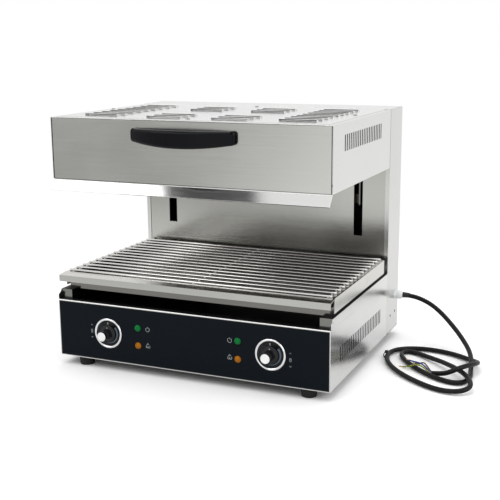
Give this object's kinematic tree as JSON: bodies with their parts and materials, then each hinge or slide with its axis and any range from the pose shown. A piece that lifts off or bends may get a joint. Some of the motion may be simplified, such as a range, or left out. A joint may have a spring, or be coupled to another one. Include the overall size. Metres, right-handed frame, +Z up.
{
  "type": "cheese melter",
  "caption": "Electric salamander grill: a counterbalanced hood with heating elements rises and falls over a wire grid and pull-out drip tray, with dial controls in the base.",
  "frame": {"origin": "on the surface the feet stand on, under the middle of the grill with its knobs and without its lead", "axes": "+X along the width to the right seen from the front, -Y to the front with the knobs and the handle, +Z up"},
  "size_m": [0.8407, 0.508, 0.5255],
  "materials": {
    "casing_steel": "satin",
    "hood_steel": "satin",
    "polished_steel": "polished",
    "plain_steel": "satin",
    "screw_steel": "satin",
    "rod_steel": "polished",
    "rope_steel": "satin",
    "reflector_steel": "satin",
    "element_sheath": "matte",
    "tray_steel": "satin",
    "grid_wire": "gloss",
    "bezel_chrome": "polished",
    "cap_aluminium": "satin",
    "weight_iron": "matte",
    "bush_bronze": "satin",
    "panel_black": "satin",
    "dial_black": "satin",
    "knob_black": "satin",
    "regulator_black": "matte",
    "handle_black": "satin",
    "pulley_nylon": "matte",
    "gland_grey": "matte",
    "lamp_green": "gloss",
    "lamp_amber": "gloss",
    "tie_black": "matte",
    "core_brown": "matte",
    "foot_rubber": "matte",
    "cord_rubber": "matte",
    "terminal_ceramic": "matte",
    "mat_fibre": "matte"
  },
  "bodies": {
    "casing": {"base_side_left": "casing_steel", "base_side_right": "casing_steel", "bottom_plate": "casing_steel", "control_fascia": "casing_steel", "base_deck": "casing_steel", "column_side_left": "casing_steel", "column_side_right": "casing_steel", "lift_slot_panel": "casing_steel", "column_top_cap": "casing_steel", "rear_cover": "casing_steel", "tray_rail_left": "casing_steel", "tray_rail_right": "casing_steel", "control_overlay": "panel_black", "feet": "foot_rubber", "dial_bezels": "bezel_chrome", "dial_plates": "dial_black", "energy_regulators": "regulator_black", "green_lamps": "lamp_green", "amber_lamps": "lamp_amber", "terminal_block": "terminal_ceramic", "casing_screws": "screw_steel", "guide_rods": "rod_steel", "rod_brackets": "plain_steel", "pulley_brackets": "plain_steel", "pulley_axles": "plain_steel", "rope_bends": "rope_steel", "weight_guides": "plain_steel", "cable_gland": "gland_grey", "gland_locknut": "gland_grey", "cord_coil": "cord_rubber", "power_cord": "cord_rubber", "cord_cores": "core_brown", "cord_tie": "tie_black"},
    "hood": {"hood_shell": "hood_steel", "hood_front": "hood_steel", "hood_top_cover": "hood_steel", "hood_rear_panel": "hood_steel", "hood_lip": "polished_steel", "hood_handle": "handle_black", "hood_bolts": "screw_steel", "cover_screws": "screw_steel", "reflector_pan": "reflector_steel", "insulation_mat": "mat_fibre", "heating_elements": "element_sheath", "element_brackets": "reflector_steel", "lift_arm_left": "plain_steel", "lift_arm_right": "plain_steel", "guide_bushes": "bush_bronze", "hood_ropes": "rope_steel"},
    "counterweight": {"counterweight": "weight_iron", "weight_ropes": "rope_steel"},
    "pulleys": {"rope_pulleys": "pulley_nylon"},
    "drip_tray": {"drip_tray": "tray_steel"},
    "wire_grid": {"wire_grid": "grid_wire"},
    "knob_left": {"knob_left": "knob_black", "knob_cap_left": "cap_aluminium", "knob_spindle_left": "plain_steel"},
    "knob_right": {"knob_right": "knob_black", "knob_cap_right": "cap_aluminium", "knob_spindle_right": "plain_steel"}
  },
  "joints": [
    {"name": "hood_slide", "type": "slide", "parent": "casing", "child": "hood", "axis": [0, 0, 1], "range_m": [-0.13, 0], "deforming": ["hood_ropes"]},
    {"name": "counterweight_slide", "type": "slide", "parent": "casing", "child": "counterweight", "axis": [0, 0, 1], "range_m": [0, 0.13], "deforming": ["weight_ropes"]},
    {"name": "pulley_turn", "type": "hinge", "parent": "casing", "child": "pulleys", "pos_m": [0, 0.209, 0.488], "axis": [1, 0, 0], "range_deg": [0, 340]},
    {"name": "tray_slide", "type": "slide", "parent": "casing", "child": "drip_tray", "axis": [0, -1, 0], "range_m": [0, 0.3]},
    {"name": "grid_lift", "type": "slide", "parent": "drip_tray", "child": "wire_grid", "axis": [0, 0, 1], "range_m": [0, 0.03]},
    {"name": "knob_left_turn", "type": "hinge", "parent": "casing", "child": "knob_left", "pos_m": [-0.18, -0.24, 0.081], "axis": [0, -1, 0], "range_deg": [0, 300]},
    {"name": "knob_right_turn", "type": "hinge", "parent": "casing", "child": "knob_right", "pos_m": [0.18, -0.24, 0.081], "axis": [0, -1, 0], "range_deg": [0, 300]}
  ],
  "couplings": [
    {"joint": "counterweight_slide", "follows": "hood_slide", "ratio": -1},
    {"joint": "pulley_turn", "follows": "hood_slide", "rad_per_m": -45.455}
  ]
}
